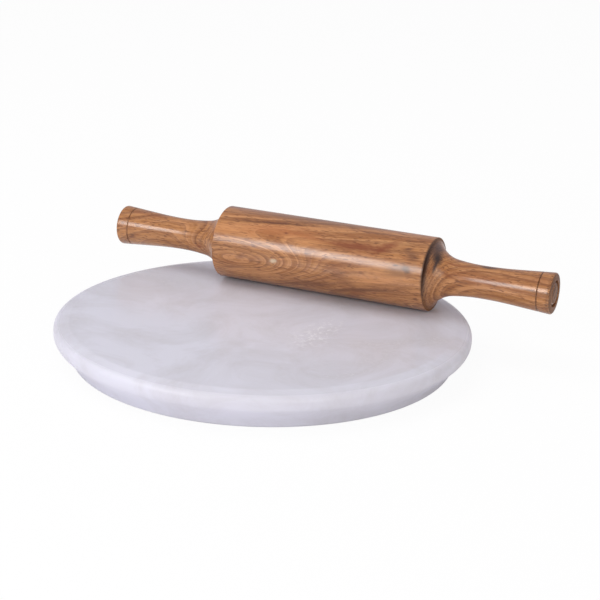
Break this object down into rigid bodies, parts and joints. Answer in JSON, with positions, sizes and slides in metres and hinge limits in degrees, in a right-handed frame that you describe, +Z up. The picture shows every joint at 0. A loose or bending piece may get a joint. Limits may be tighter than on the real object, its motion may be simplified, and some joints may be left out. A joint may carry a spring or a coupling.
{
  "type": "chakla rolling board with rolling pin",
  "caption": "Round polished marble rolling board on a narrow foot, with a loose one-piece turned wooden rolling pin lying across it.",
  "frame": {"origin": "centre of the board's underside, on the surface that it stands on", "axes": "+Z up out of the rolling face; +X along the rolling pin's axis; +Y from the board's centre towards the side where the pin lies at rest"},
  "size_m": [0.2988, 0.254, 0.0699],
  "materials": {
    "marble": "polished white marble with a faint cool cast and feathery veins",
    "lacquered_wood": "turned hardwood under clear gloss lacquer"
  },
  "bodies": {
    "board": {"marble_board": "marble"},
    "pin": {"rolling_pin": "lacquered_wood"}
  },
  "joints": [
    {"name": "lift_off", "type": "slide", "parent": "board", "child": "pin", "axis": [0, 0, 1], "range_m": [0, 0.12]}
  ]
}
